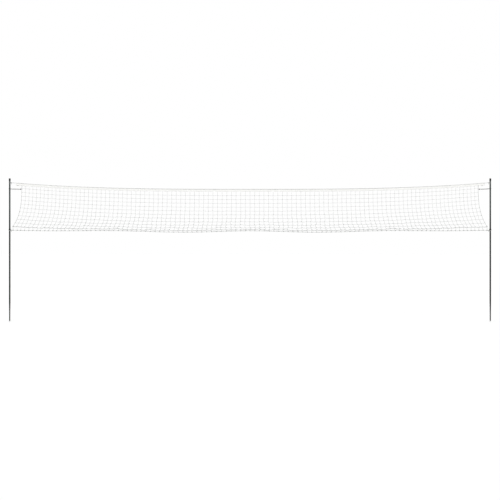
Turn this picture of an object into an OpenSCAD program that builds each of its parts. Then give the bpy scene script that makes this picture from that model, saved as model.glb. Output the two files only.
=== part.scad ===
// Long garden volleyball net on two plug-in poles.
// Millimetres. The net hangs in the XZ plane with X along it and Z up.
// The origin lies midway between the poles, level with the tips of the ground spikes.

/* [Layout] */
// Distance between the centre lines of the two poles
pole_spacing = 5000; // [4000:50:6000]

/* [Tubes] */
// Outer diameter of every tube
tube_d = 16; // [13:0.5:25]
// Wall of every tube
tube_wall = 1.2; // [0.8:0.1:2]
// Length of the bottom tube that shows
bottom_tube_len = 324; // [250:1:450]
// Length of each of the two middle tubes that shows
middle_tube_len = 333; // [250:1:450]
// Length of the top tube that shows, up to the cap
top_tube_len = 283; // [200:1:400]
// Length of the narrowed neck that plugs into the tube below
neck_len = 50; // [25:1:80]
// Gap all round between a plugged end and its bore
plug_gap = 0.05; // [0.02:0.01:0.1]
// Bevel on the rims and shoulders that marks each joint
joint_bevel = 0.5; // [0.2:0.1:0.6]

/* [Ground spike] */
// Diameter of the part that goes into the ground
spike_d = 12; // [8:0.5:13]
// Length of the straight part
spike_straight_len = 66; // [40:1:120]
// Length of the blunt point
spike_point_len = 10; // [6:1:20]
// Length of the cone between the straight part and the shoulder
spike_cone_len = 114; // [60:1:160]

/* [Top cap] */
// Wall of the cap round the tube
cap_wall = 1.2; // [0.8:0.1:2.5]
// Depth that the tube goes into the cap
cap_grip = 21; // [12:1:35]
// Thickness of the domed top
cap_top = 4; // [3:0.5:8]

/* [Net] */
// Meshes along the net
columns = 106; // [60:2:120]
// Meshes down the net
rows = 12; // [8:1:14]
// Thickness of the mesh twine
twine_d = 2.2; // [1.5:0.1:2.5]
// Height between the top and the bottom line at the poles
net_depth = 495; // [450:5:700]
// How far the top line hangs down in the middle
line_sag = 69; // [0:1:90]
// Spare length in the middle strings, which bunches the lowest meshes
mesh_slack = 81; // [0:1:100]
// How far the first row lies closer to the tape at the ends than in the middle
end_row_lift = 14; // [0:1:20]
// How far the bottom line hangs down on average
bottom_sag = 14; // [0:1:25]
// Rise and fall of the slack bottom line
bottom_wave = 9; // [0:1:14]
// Extra length over which the end columns are drawn together
end_bunching = 184; // [0:5:250]
// Distance from a pole to the net's side at the tape
net_side_gap = 126; // [100:1:180]
// Distance from a pole to the net's lower corner
net_corner_gap = 34; // [30:1:80]

/* [Lines and tape] */
// Thickness of the top and bottom lines
line_d = 4; // [3:0.5:5]
// Thickness of the side lines
side_line_d = 3.4; // [2.5:0.1:4]
// Height of the folded tape over the top line
tape_height = 24; // [20:1:45]
// Thickness of the tape's fabric
tape_wall = 0.7; // [0.5:0.1:1.2]
// Distance from a pole to the end of the tape
tape_end_gap = 64; // [50:1:95]
// Distance from the cap down to the knot of the top line
top_tie_drop = 21; // [15:1:60]
// Size of the knot in each line at the pole
knot_d = 9; // [7:0.5:12]
// Gap all round between a tie and the pole or line that it holds
tie_gap = 0.3; // [0.2:0.05:0.5]

/* [Elastic ties] */
// Thickness of the elastic cord
elastic_d = 3; // [2.5:0.1:3.5]
// Diameter of the ball
ball_d = 12; // [10:0.5:15]
// Distance from the net's side line to the middle of the ball
ball_offset = 14; // [12:1:25]
// How far the elastic lies below the first row of meshes
elastic_drop = 8; // [5:0.5:14]

/* [Stop collars] */
// Wall of the collar that the bottom line rests under
collar_wall = 2; // [1.5:0.1:4]
// Height of the collar
collar_height = 12; // [8:1:20]

/* [Hidden] */
$fn = 48;
SIDES = [["left", -1], ["right", 1]];
TUBES = [1, 2, 3, 4];
POLE_PIECES = ["ground_spike", "tube_1", "tube_2", "tube_3", "tube_4", "top_cap"];
TIE_PIECES = ["side_line", "top_tie", "bottom_tie", "stop_collar", "elastic_tie", "tie_ball"];

// The tubes and what plugs into them
tube_r = tube_d / 2;
bore_r = tube_r - tube_wall;
plug_r = bore_r - plug_gap;
neck_bore_r = plug_r - tube_wall;
swage_len = 6;
plug_chamfer = 1;
pole_x = pole_spacing / 2;
shoulder_z = spike_point_len + spike_straight_len + spike_cone_len;
tube_seen = [bottom_tube_len, middle_tube_len, middle_tube_len, top_tube_len];
tube_z = [
  shoulder_z,
  shoulder_z + bottom_tube_len,
  shoulder_z + bottom_tube_len + middle_tube_len,
  shoulder_z + bottom_tube_len + 2 * middle_tube_len
];
cap_z = tube_z[3] + top_tube_len;
spike_r = spike_d / 2;
spike_tip_r = 2.5;
dome_edge = 1;

// The lines
line_r = line_d / 2;
side_line_r = side_line_d / 2;
tie_r = tube_r + tie_gap + line_r;
knot_r = knot_d / 2;
knot_seat = 1;
knot_x = tie_r + line_r + knot_r - knot_seat;
line_end_gap = 0.2;
line_end_x = pole_x - knot_x - knot_r - line_end_gap;
top_tie_z = cap_z - top_tie_drop;
bottom_tie_z = top_tie_z - net_depth;
waves_between_poles = 10 / 3;
wave_len = pole_spacing / waves_between_poles;
line_steps = 60;
collar_bevel = 0.5;

// The net
half_columns = columns / 2;
side_x = pole_x - net_side_gap;
corner_x = pole_x - net_corner_gap;
tape_end_x = pole_x - tape_end_gap;
fold_share = 3;
head_drop = line_r + tie_gap + twine_d / 2;
middle_room = top_line_z(0) - bottom_line_z(0) - tape_height - head_drop;
row_pitch = (middle_room + mesh_slack) / rows;
bunching_power = 5;

// The elastic ties
elastic_r = elastic_d / 2;
elastic_x = side_x + ball_offset;
elastic_z = row_z(1, side_x) - elastic_drop;
ball_flat_share = 0.83;
ball_flat = ball_flat_share * ball_d / 2;
strand_gap = 0.15;
strand_y = elastic_r + strand_gap / 2;
strand_lead = 1.5;

black = [0.07, 0.08, 0.08];
pole_green = [0.19, 0.22, 0.21];
net_white = [0.93, 0.93, 0.91];

// Height of the top line at x: it falls slowly near the poles and is flat in the middle.
function top_line_z(x) = top_tie_z - line_sag * (1 - pow(abs(x) / line_end_x, 3));

// Height of the bottom line at x: a long low wave on a slight sag, fixed at the poles.
function bottom_line_z(x) =
  let(slack = 1 - pow(abs(x) / line_end_x, 1.5), wave = cos(360 * abs(x) / wave_len))
  bottom_tie_z - slack * (bottom_sag - bottom_wave * wave);

// Height of row k of the mesh at x. The upper rows hang at full pitch and the lowest ones bunch.
function row_z(k, x) =
  let(
    start = top_line_z(x) - tape_height,
    room = start - bottom_line_z(x) - head_drop,
    share = k / rows,
    spare = row_pitch * rows - room
  )
  start - row_pitch * k + spare * pow(share, bunching_power)
    + end_row_lift * pow(x / side_x, 2) * share_of_lift(k);

// The lift fades from the first row to nothing at the last.
function share_of_lift(k) = k < 1 ? k : 1 - pow((k - 1) / (rows - 1), 3);

// Place along x of column u, from -1 at the left side to 1 at the right side, on row k.
function column_x(u, k) =
  let(down = min(k / (rows - 1), 1))
  (side_x + end_bunching) * u - end_bunching * pow(u, 3) + (corner_x - side_x) * u * pow(down, 3);

// The crossing of column u and row k, and the head of the column under the top line.
function crossing(u, k) = let(x = column_x(u, k)) [x, row_z(k, x)];
function column_head(u) = let(x = column_x(u, 0)) [x, top_line_z(x) - head_drop];

// Points of a ring of n sides and radius r.
function ring(r, n) = [for (i = [0:n - 1]) r * [cos(360 * (i + 0.5) / n), sin(360 * (i + 0.5) / n)]];

// Points of an arc about the origin.
function arc(r, from, to, n) = [for (i = [0:n]) let(a = from + (to - from) * i / n) r * [cos(a), sin(a)]];

// Direction of a path at point i.
function heading(path, i) =
  let(a = path[max(i - 1, 0)], b = path[min(i + 1, len(path) - 1)]) (b - a) / norm(b - a);

// A tube or strip along a flat path. The profile's first number runs along side, which is the
// normal of the path's plane, and its second number across the path.
module sweep(path, profile, side, end_faces) {
  n = len(path);
  m = len(profile);
  points = [
    for (i = [0:n - 1])
      let(across = cross(heading(path, i), side))
      for (p = profile) path[i] + p[0] * side + p[1] * across
  ];
  walls = [
    for (i = [0:n - 2], j = [0:m - 1])
      let(k = (j + 1) % m)
      [i * m + j, (i + 1) * m + j, (i + 1) * m + k, i * m + k]
  ];
  last = (n - 1) * m;
  first_end = end_faces;
  last_end = [for (f = end_faces) [for (i = [len(f) - 1:-1:0]) last + f[i]]];
  polyhedron(points = points, faces = concat(walls, first_end, last_end), convexity = 6);
}

// A round cord along a flat path.
module cord(path, r, side) {
  sides = 8;
  sweep(path, ring(r, sides), side, [[for (j = [0:sides - 1]) j]]);
}

// A strip of height w along points in a plane: across a row or down a column.
module row_strip(points, w) {
  polygon(concat(
    [for (p = points) p - [0, w / 2]],
    [for (i = [len(points) - 1:-1:0]) points[i] + [0, w / 2]]
  ));
}
module column_strip(points, w) {
  polygon(concat(
    [for (p = points) p - [w / 2, 0]],
    [for (i = [len(points) - 1:-1:0]) points[i] + [w / 2, 0]]
  ));
}

module at_pole(s) translate([s * pole_x, 0, 0]) children();
module mirrored(s) mirror([s < 0 ? 1 : 0, 0, 0]) children();

// Solid spike: point, straight part, cone up to the shoulder, and the plug inside the bottom tube.
module ground_spike() {
  plug_top = shoulder_z + neck_len;
  color(black) rotate_extrude() polygon([
    [0, 0],
    [spike_tip_r, 0],
    [spike_r, spike_point_len],
    [spike_r, spike_point_len + spike_straight_len],
    [tube_r - joint_bevel, shoulder_z],
    [plug_r, shoulder_z],
    [plug_r, plug_top - plug_chamfer],
    [plug_r - plug_chamfer, plug_top],
    [0, plug_top]
  ]);
}

// Steel tube number k, counted from the ground. All but the first narrow to a neck below.
module tube(k) {
  seen = tube_seen[k - 1];
  top = k == 4 ? seen + cap_grip : seen;
  foot = k == 1
    ? [[bore_r, 0], [tube_r - joint_bevel, 0]]
    : [
        [bore_r, swage_len],
        [neck_bore_r, 0],
        [neck_bore_r, -neck_len],
        [plug_r - plug_chamfer / 2, -neck_len],
        [plug_r, plug_chamfer - neck_len],
        [plug_r, 0],
        [tube_r - joint_bevel, 0]
      ];
  color(pole_green) translate([0, 0, tube_z[k - 1]]) rotate_extrude() polygon(concat(
    foot,
    [[tube_r, joint_bevel], [tube_r, top - joint_bevel], [tube_r - joint_bevel, top], [bore_r, top]]
  ));
}

// Cap over the end of the top tube, with a domed top.
module top_cap() {
  grip_r = tube_r + plug_gap;
  cap_r = grip_r + cap_wall;
  top = cap_grip + cap_top;
  dome_r = cap_top + dome_edge;
  color(black) translate([0, 0, cap_z]) rotate_extrude() polygon(concat(
    [[grip_r, 0], [cap_r, 0]],
    [for (p = arc(dome_r, 0, 90, 8)) p + [cap_r - dome_r, top - dome_r]],
    [[0, top], [0, cap_grip], [grip_r, cap_grip]]
  ));
}

// Mesh of twine, from the string under the top line to the string on the bottom line.
module net_mesh() {
  edge = side_line_r + tie_gap;
  head = [for (j = [-half_columns:half_columns]) column_head(j / half_columns)];
  color(net_white) translate([0, twine_d / 2, 0]) rotate([90, 0, 0]) linear_extrude(twine_d) {
    row_strip(head, twine_d);
    for (k = [1:rows])
      row_strip([
        for (j = [-half_columns:half_columns])
          crossing(j / half_columns, k) - [abs(j) == half_columns ? sign(j) * edge : 0, 0]
      ], twine_d);
    for (j = [1 - half_columns:half_columns - 1])
      column_strip(concat(
        [column_head(j / half_columns)],
        [for (k = [1:rows]) crossing(j / half_columns, k)]
      ), twine_d);
  }
}

// Tape folded over the top line and sewn to the mesh below it.
module tape() {
  fold_r = line_r + tie_gap;
  inner = twine_d / 2 + tie_gap;
  fold_low = -fold_share * fold_r;
  fold_steps = 4;
  half_out = concat(
    [[inner + tape_wall, -tape_height], [inner + tape_wall, fold_low]],
    arc(fold_r + tape_wall, 0, 90, fold_steps)
  );
  half_in = concat([[inner, -tape_height], [inner, fold_low]], arc(fold_r, 0, 90, fold_steps));
  m = len(half_out);
  out = concat(half_out, [for (i = [m - 2:-1:0]) [-half_out[i][0], half_out[i][1]]]);
  in = concat(half_in, [for (i = [m - 2:-1:0]) [-half_in[i][0], half_in[i][1]]]);
  q = len(out);
  profile = concat(out, [for (i = [q - 1:-1:0]) in[i]]);
  end_faces = [for (i = [0:q - 2]) [i, i + 1, 2 * q - 2 - i, 2 * q - 1 - i]];
  path = [
    for (i = [0:line_steps])
      let(x = tape_end_x * (2 * i / line_steps - 1)) [x, 0, top_line_z(x)]
  ];
  color(net_white) sweep(path, profile, [0, 1, 0], end_faces);
}

module top_line() {
  color(net_white) cord([
    for (i = [0:line_steps])
      let(x = line_end_x * (2 * i / line_steps - 1)) [x, 0, top_line_z(x)]
  ], line_r, [0, 1, 0]);
}

module bottom_line() {
  color(net_white) cord([
    for (i = [0:line_steps])
      let(x = line_end_x * (2 * i / line_steps - 1)) [x, 0, bottom_line_z(x)]
  ], line_r, [0, 1, 0]);
}

// Line down the side of the mesh, from the tape to the bottom line.
module side_line() {
  steps = 2 * rows;
  head = [side_x, 0, top_line_z(side_x) - tape_height - tie_gap];
  middle = [
    for (i = [1:steps - 1])
      let(k = i / 2, x = column_x(1, k)) [x, 0, row_z(k, x)]
  ];
  foot = [corner_x, 0, bottom_line_z(corner_x) + line_r + tie_gap];
  color(net_white) cord(concat([head], middle, [foot]), side_line_r, [0, 1, 0]);
}

// Turn of a line round the pole, with its knot on the net's side.
module line_tie(z) {
  color(net_white) translate([pole_x, 0, z]) {
    rotate_extrude() translate([tie_r, 0]) circle(line_r);
    translate([-knot_x, 0, 0]) sphere(knot_r);
  }
}

// Collar that grips the pole just above the knot of the bottom line.
module stop_collar() {
  inner = tube_r + tie_gap;
  low = bottom_tie_z + line_r + tie_gap;
  color(black) translate([pole_x, 0, low]) rotate_extrude() polygon([
    [inner, 0],
    [inner + collar_wall - collar_bevel, 0],
    [inner + collar_wall, collar_bevel],
    [inner + collar_wall, collar_height - collar_bevel],
    [inner + collar_wall - collar_bevel, collar_height],
    [inner, collar_height]
  ]);
}

// Elastic cord: a loop round the pole and a small loop round the net's side line. Both strands
// of a loop leave the ball square to its flat.
module elastic_tie() {
  pole_turn = arc(tube_r + tie_gap + elastic_r, -90, 90, 12);
  net_turn = arc(side_line_r + tie_gap + elastic_r, 90, 270, 10);
  to_pole = elastic_x + ball_flat;
  to_net = elastic_x - ball_flat;
  color(black) {
    cord(concat(
      [[to_pole, -strand_y, elastic_z], [to_pole + strand_lead, -strand_y, elastic_z]],
      [for (p = pole_turn) [pole_x + p[0], p[1], elastic_z]],
      [[to_pole + strand_lead, strand_y, elastic_z], [to_pole, strand_y, elastic_z]]
    ), elastic_r, [0, 0, 1]);
    cord(concat(
      [[to_net, strand_y, elastic_z], [to_net - strand_lead, strand_y, elastic_z]],
      [for (p = net_turn) [side_x + p[0], p[1], elastic_z]],
      [[to_net - strand_lead, -strand_y, elastic_z], [to_net, -strand_y, elastic_z]]
    ), elastic_r, [0, 0, 1]);
  }
}

// Ball of the elastic tie, flat where the strands leave it.
module tie_ball() {
  color(black) translate([elastic_x, 0, elastic_z]) intersection() {
    sphere(ball_d / 2);
    cube([2 * ball_flat, ball_d, ball_d], center = true);
  }
}

for (side = SIDES) {
  s = side[1];
  at_pole(s) ground_spike();
  for (k = TUBES)
    at_pole(s) tube(k);
  at_pole(s) top_cap();
  mirrored(s) side_line();
  mirrored(s) line_tie(top_tie_z);
  mirrored(s) line_tie(bottom_tie_z);
  mirrored(s) stop_collar();
  mirrored(s) elastic_tie();
  mirrored(s) tie_ball();
}
net_mesh();
tape();
top_line();
bottom_line();
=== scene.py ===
# %% [markdown]
# # A garden volleyball net on two poles
# The real thing is five metres of white net between two thin painted tubes. Nearly all of it is
# cord, so most of this lesson is about cord: how to sweep it along a path, how to twist it, and
# how to knot it a thousand times without a heavy mesh.

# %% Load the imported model
import math

import bpy
import numpy as np
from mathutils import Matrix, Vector


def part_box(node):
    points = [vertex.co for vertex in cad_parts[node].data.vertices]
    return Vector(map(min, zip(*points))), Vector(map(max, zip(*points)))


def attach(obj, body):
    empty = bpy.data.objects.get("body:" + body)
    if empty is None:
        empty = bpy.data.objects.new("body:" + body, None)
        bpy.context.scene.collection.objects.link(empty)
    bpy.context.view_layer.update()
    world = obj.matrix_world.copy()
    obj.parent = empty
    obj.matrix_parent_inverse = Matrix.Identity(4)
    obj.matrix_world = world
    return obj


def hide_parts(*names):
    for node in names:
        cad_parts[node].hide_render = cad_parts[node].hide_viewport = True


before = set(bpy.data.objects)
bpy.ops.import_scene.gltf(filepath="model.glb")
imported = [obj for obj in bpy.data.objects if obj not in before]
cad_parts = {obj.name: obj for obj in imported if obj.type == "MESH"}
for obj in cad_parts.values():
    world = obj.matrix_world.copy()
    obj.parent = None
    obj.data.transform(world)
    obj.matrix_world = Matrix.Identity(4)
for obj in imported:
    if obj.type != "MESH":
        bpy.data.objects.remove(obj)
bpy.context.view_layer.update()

# %% [markdown]
# ## Driving sizes
# A maker measures the poles first and hangs the net between them. The places of the poles, the
# knots and the net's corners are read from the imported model's boxes, so they can't drift from it.
# Only what a box can't show is written here, in metres: the thickness of each cord, the number of
# meshes, and how slack they hang.

# %% Thicknesses
LINE_D = 0.004
SIDE_LINE_D = 0.0034
TWINE_D = 0.0022
ELASTIC_D = 0.003
TAPE_HEIGHT = 0.024
TAPE_CLOTH = 0.0007
FIT_GAP = 0.0003  # between a cord and what it goes round
print("cords from", 1000 * TWINE_D, "to", 1000 * LINE_D, "mm thick")

# %% How many meshes, and how slack
COLUMNS = 106
ROWS = 12
MESH_SLACK = 0.081  # spare depth of the mesh in the middle of the net
END_ROW_LIFT = 0.014  # how far the net's ends are pulled up
BOTTOM_SAG = 0.014  # how far the bottom line hangs down on average
BOTTOM_WAVE = 0.009  # and how far it waves about that
WAVE_SHARE = 0.3  # length of one wave, as a share of the way between the poles
END_BUNCHING = 0.184  # how far the outer columns are drawn together
BUNCHING_POWER = 5  # the higher, the fewer rows bunch above the bottom line
SIDES = {"left": -1, "right": 1}
print("meshes", COLUMNS, "by", ROWS)


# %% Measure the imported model
def middle_of(node):
    """The centre of a node's box."""
    low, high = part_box(node)
    return (np.array(low) + np.array(high)) / 2


pole_x = middle_of("right_tube_1")[0]
pole_r = (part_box("right_tube_1")[1][0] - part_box("right_tube_1")[0][0]) / 2
line_end_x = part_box("top_line")[1][0]
top_tie_z = middle_of("right_top_tie")[2]
bottom_tie_z = middle_of("right_bottom_tie")[2]
line_sag = top_tie_z - LINE_D / 2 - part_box("top_line")[0][2]
side_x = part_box("right_side_line")[0][0] + SIDE_LINE_D / 2
corner_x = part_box("right_side_line")[1][0] - SIDE_LINE_D / 2
tape_end_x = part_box("tape")[1][0]
tie_r = pole_r + FIT_GAP + LINE_D / 2
print("poles at", round(pole_x, 3), "net side at", round(side_x, 3), "sag", round(line_sag, 4))

# %% [markdown]
# ## The camera
# The set is seen square on from far away, level with the middle of the poles. A long lens a good
# way off keeps both poles upright and of equal height.

# %% Camera
CAMERA_DISTANCE = 12.0
VIEW_WIDTH = 5.2022
CAMERA_HEIGHT = 0.7426
camera_data = bpy.data.cameras.new("camera")
camera_data.lens = camera_data.sensor_width * CAMERA_DISTANCE / VIEW_WIDTH
camera = bpy.data.objects.new("camera", camera_data)
bpy.context.scene.collection.objects.link(camera)
camera.location = (0.0, -CAMERA_DISTANCE, CAMERA_HEIGHT)
camera.rotation_euler = (math.radians(90), 0, 0)
bpy.context.scene.camera = camera
bpy.context.scene.view_settings.view_transform = "Standard"
print("lens", round(camera_data.lens, 1), "mm")

# %% [markdown]
# ## How the net hangs
# The top line sags like a loaded clothes line, and the bottom line is slack and waves a little.
# Between them the upper meshes hang at full depth under their own weight. The spare length
# gathers in the lowest rows, whose cords bow out. These few functions say where a point of the
# net is, for any column and row, and everything else asks them.

# %% The net's shape
half_columns = COLUMNS // 2
head_drop = LINE_D / 2 + FIT_GAP + TWINE_D / 2
net_depth = top_tie_z - bottom_tie_z
middle_room = net_depth - line_sag + BOTTOM_SAG - BOTTOM_WAVE - TAPE_HEIGHT - head_drop
row_pitch = (middle_room + MESH_SLACK) / ROWS
wave_length = WAVE_SHARE * 2 * pole_x


def top_line_z(x):
    """Height of the middle of the top line."""
    return top_tie_z - line_sag * (1 - (np.abs(x) / line_end_x) ** 3)


def bottom_line_z(x):
    """Height of the middle of the bottom line."""
    slack = 1 - (np.abs(x) / line_end_x) ** 1.5
    wave = np.cos(2 * np.pi * np.abs(x) / wave_length)
    return bottom_tie_z - slack * (BOTTOM_SAG - BOTTOM_WAVE * wave)


def row_z(k, x):
    """Height of row k of the mesh, counted down from the tape."""
    start = top_line_z(x) - TAPE_HEIGHT
    room = start - bottom_line_z(x) - head_drop
    spare = row_pitch * ROWS - room
    lift = k if k < 1 else 1 - ((k - 1) / (ROWS - 1)) ** 3
    fall = row_pitch * k - spare * (k / ROWS) ** BUNCHING_POWER
    return start - fall + END_ROW_LIFT * (x / side_x) ** 2 * lift


def column_x(u, k):
    """Place along the net of a column, from u = -1 to 1, on row k: the foot flares outwards."""
    flare = (corner_x - side_x) * u * min(k / (ROWS - 1), 1) ** 3
    return (side_x + END_BUNCHING) * u - END_BUNCHING * u**3 + flare


print("the net is", round(net_depth, 3), "m deep at the poles")
print("its rows lie", round(1000 * row_pitch, 1), "mm apart")


# %% [markdown]
# ## Sweeping cord
# A cord could be a curve with a bevel, but a rope's strands have to wind round it, and a net has
# hundreds of cords. So one function writes the tubes of many paths straight into one mesh. It
# walks a small ring of points along each path, pushes the ring in and out where the strands dip,
# and stores a UV map: once round the cord in U, and metres along it in V. A finish can then twist
# its fibres along the cord.

# %% New piece helper
def new_piece(name, points, faces, smooth=True):
    """An object with a mesh of these points and faces."""
    mesh = bpy.data.meshes.new(name)
    mesh.from_pydata(np.asarray(points).reshape(-1, 3).tolist(), [], faces)
    mesh.polygons.foreach_set("use_smooth", [smooth] * len(faces))
    made = bpy.data.objects.new(name, mesh)
    bpy.context.scene.collection.objects.link(made)
    return made


def face_out(piece):
    """Turns every face of a closed mesh outwards."""
    bpy.ops.object.select_all(action="DESELECT")
    bpy.context.view_layer.objects.active = piece
    piece.select_set(True)
    bpy.ops.object.mode_set(mode="EDIT")
    bpy.ops.mesh.select_all(action="SELECT")
    bpy.ops.mesh.normals_make_consistent(inside=False)
    bpy.ops.object.mode_set(mode="OBJECT")
    piece.select_set(False)


# %% Cord helper
def headings(path):
    """Unit directions along a path."""
    step = np.gradient(path, axis=0)
    return step / np.linalg.norm(step, axis=1)[:, None]


def rings_along(path, side):
    """Two unit directions across the path at each of its points."""
    ahead = headings(path)
    across = np.cross(ahead, side)
    across /= np.linalg.norm(across, axis=1)[:, None]
    return np.cross(across, ahead), across


def cord_mesh(name, paths, radius, around=6, side=(0, 1, 0), strands=0, lay=0.012, dip=0.2):
    """One mesh object holding a closed tube along each path. Strands wind once in each lay."""
    points, faces, uvs, count = [], [], [], 0
    angle = 2 * np.pi * (np.arange(around) + 0.5) / around
    for path in paths:
        path = np.asarray(path, float)
        n = len(path)
        run = np.concatenate([[0], np.cumsum(np.linalg.norm(np.diff(path, axis=0), axis=1))])
        one, two = rings_along(path, np.array(side, float))
        size = np.full((n, around), radius)
        if strands:
            turn = strands / 2 * (angle[None, :] - 2 * np.pi * run[:, None] / lay)
            size = radius * (1 - dip + dip * np.abs(np.cos(turn)))
        ring = one[:, None] * np.cos(angle)[:, None] + two[:, None] * np.sin(angle)[:, None]
        points.append((path[:, None] + ring * size[:, :, None]).reshape(-1, 3))
        i, j = np.meshgrid(np.arange(n - 1), np.arange(around), indexing="ij")
        k = (j + 1) % around
        near, far = i * around, (i + 1) * around
        quads = np.stack([near + j, near + k, far + k, far + j], -1)
        faces += (quads.reshape(-1, 4) + count).tolist()
        uv = np.stack([
            np.stack([j / around, run[i]], -1), np.stack([(j + 1) / around, run[i]], -1),
            np.stack([(j + 1) / around, run[i + 1]], -1), np.stack([j / around, run[i + 1]], -1),
        ], 2)
        uvs.append(uv.reshape(-1, 2))
        faces.append((np.arange(around)[::-1] + count).tolist())
        faces.append((np.arange(around) + (n - 1) * around + count).tolist())
        uvs.append(np.zeros((2 * around, 2)))
        count += n * around
    made = new_piece(name, np.concatenate(points), faces)
    made.data.uv_layers.new(name="cord").data.foreach_set("uv", np.concatenate(uvs).ravel())
    face_out(made)
    return made


# %% Path helpers
def length_of(path):
    """Length along a path, in metres."""
    return float(np.linalg.norm(np.diff(np.asarray(path), axis=0), axis=1).sum())


def smooth_path(points, per_span=8):
    """A rounded path through given points, by a Catmull-Rom spline."""
    p = np.asarray(points, float)
    p = np.concatenate([[2 * p[0] - p[1]], p, [2 * p[-1] - p[-2]]])
    t = np.linspace(0, 1, per_span, endpoint=False)[:, None]
    out = []
    for a, b, c, d in zip(p, p[1:], p[2:], p[3:]):
        bend = (2 * a - 5 * b + 4 * c - d) * t**2 + (3 * b - a - 3 * c + d) * t**3
        out.append(0.5 * (2 * b + (c - a) * t + bend))
    return np.concatenate(out + [p[-2:-1]])


# %% [markdown]
# ## The long lines
# The top line is hidden in the tape except near the poles, and the bottom line shows all along.
# Both are three-strand cord. A ring about every two millimetres shows the strands turn.

# %% Top and bottom lines
LINE_STEP = 0.0022
LINE_LAY = 0.020  # length in which a strand winds once round
STRANDS = 3
ROPE_SIDES = 9
along = np.linspace(-line_end_x, line_end_x, int(2 * line_end_x / LINE_STEP))
top_path = np.stack([along, 0 * along, top_line_z(along)], axis=1)
bottom_path = np.stack([along, 0 * along, bottom_line_z(along)], axis=1)
top_line = cord_mesh("top_line_cord", [top_path], LINE_D / 2, ROPE_SIDES,
                     strands=STRANDS, lay=LINE_LAY)
bottom_line = cord_mesh("bottom_line_cord", [bottom_path], LINE_D / 2, ROPE_SIDES,
                        strands=STRANDS, lay=LINE_LAY)
for line in (top_line, bottom_line):
    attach(line, "net")
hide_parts("top_line")
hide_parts("bottom_line")
print("top line", round(length_of(top_path), 3), "m")
print("bottom line", round(length_of(bottom_path), 3), "m")

# %% [markdown]
# ## Side lines
# A thinner cord runs down each side of the mesh, from the tape to the bottom line. It flares
# outwards with the net's foot, as the corner is pulled towards the pole.

# %% Side lines
SIDE_LINE_LAY = 0.014
POINTS_PER_ROW = 8


def side_point(s, k):
    """The side line's place on row k."""
    x = column_x(1, k)
    return [s * x, 0.0, row_z(k, x)]


side_lines = {}
for name, s in SIDES.items():
    rows_down = np.linspace(0, ROWS, POINTS_PER_ROW * ROWS + 1)[1:-2]
    head = [s * side_x, 0, top_line_z(side_x) - TAPE_HEIGHT - FIT_GAP]
    foot = [s * corner_x, 0, bottom_line_z(corner_x) + LINE_D / 2 + FIT_GAP]
    route = smooth_path([head] + [side_point(s, k) for k in rows_down] + [foot], per_span=3)
    side_line = cord_mesh(f"{name}_side_line_cord", [route], SIDE_LINE_D / 2, ROPE_SIDES,
                          strands=STRANDS, lay=SIDE_LINE_LAY)
    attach(side_line, "net")
    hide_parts(f"{name}_side_line")
    side_lines[name] = (side_line, route)
    print(name, "side line", round(length_of(route), 3), "m")

# %% [markdown]
# ## The mesh
# The net is knotted twine. Each column and each row is one tube here, with a few rings in every
# mesh. The crossings stray a little at random, from a fixed seed, and more so lower down, where
# the net is slack. The lowest row only strays along its line, and the two sides stay put.

# %% Crossings of the twine
SEED = 11
STRAY = np.array([0.0030, 0.0022, 0.0026])
STRAY_ON_LINE = np.array([0.6, 0, 0])
chance = np.random.default_rng(SEED)
looseness = np.linspace(0, 1, ROWS + 1) ** 1.5
columns = (np.arange(COLUMNS + 1) - half_columns) / half_columns
place = np.zeros((COLUMNS + 1, ROWS + 1, 3))
for j, u in enumerate(columns):
    for k in range(ROWS + 1):
        x = column_x(u, k)
        place[j, k] = (x, 0, row_z(k, x))
wander = chance.normal(0, 1, place.shape) * looseness[None, :, None]
wander[:, -1] *= STRAY_ON_LINE
wander[[0, -1]] = 0
place += wander * STRAY
place[0, :, 0] += SIDE_LINE_D / 2
place[-1, :, 0] -= SIDE_LINE_D / 2
head_x = column_x(columns, 0)
heads = np.stack([head_x, 0 * head_x, top_line_z(head_x) - head_drop], axis=1)
print("meshes", COLUMNS * ROWS, "crossings", place.shape[0] * place.shape[1])

# %% [markdown]
# Between two knots a cord is an arc. Its bow is found from the cord's true length and the gap
# that it has to cross: on a shallow arc, the squares of the length and of the gap differ by 16/3
# of the square of the bow. Where the rows hang closer than the twine between them is long, that
# twine bows out sideways, and this is what makes a slack net look slack. Neighbours lean the same
# way for a few meshes, as they do in a net that has been folded up.

# %% Upright twine
TWINE_STEPS = 4  # points in each mesh
MOST_BOW = 0.014
TWINE_SHARE = 0.97  # the twine between two knots, as a share of the full row pitch
LEAN_ALONG = 0.8
LEAN_ACROSS = 0.6


def arc_between(a, b, length, lean):
    """Points from a to b, without b, along a cord of that length that bows towards lean."""
    t = np.arange(TWINE_STEPS) / TWINE_STEPS
    gap = np.linalg.norm(b - a)
    bow = min(math.sqrt(max(length**2 - gap**2, 0) * 3 / 16), MOST_BOW)
    return a + (b - a) * t[:, None] + (4 * bow * t * (1 - t))[:, None] * lean


column_paths = []
for j in range(1, COLUMNS):
    path = []
    for k in range(ROWS):
        swing = math.tanh(2 * math.sin(0.29 * j + 1.1 * k) + 0.4 * chance.normal())
        lean = np.array([LEAN_ALONG * swing, LEAN_ACROSS * math.sin(1.7 * j + k), 0])
        start = heads[j] if k == 0 else place[j, k]
        length = 0 if k == 0 else TWINE_SHARE * row_pitch
        path += list(arc_between(start, place[j, k + 1], length, lean))
    path.append(place[j, ROWS])
    column_paths.append(path)
print("columns of twine", len(column_paths))

# %% [markdown]
# The rows hang between their knots in shallow arcs. The row above the bottom line is worked with
# doubled twine, as a selvedge is, because it carries the pull of the lashing.

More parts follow.
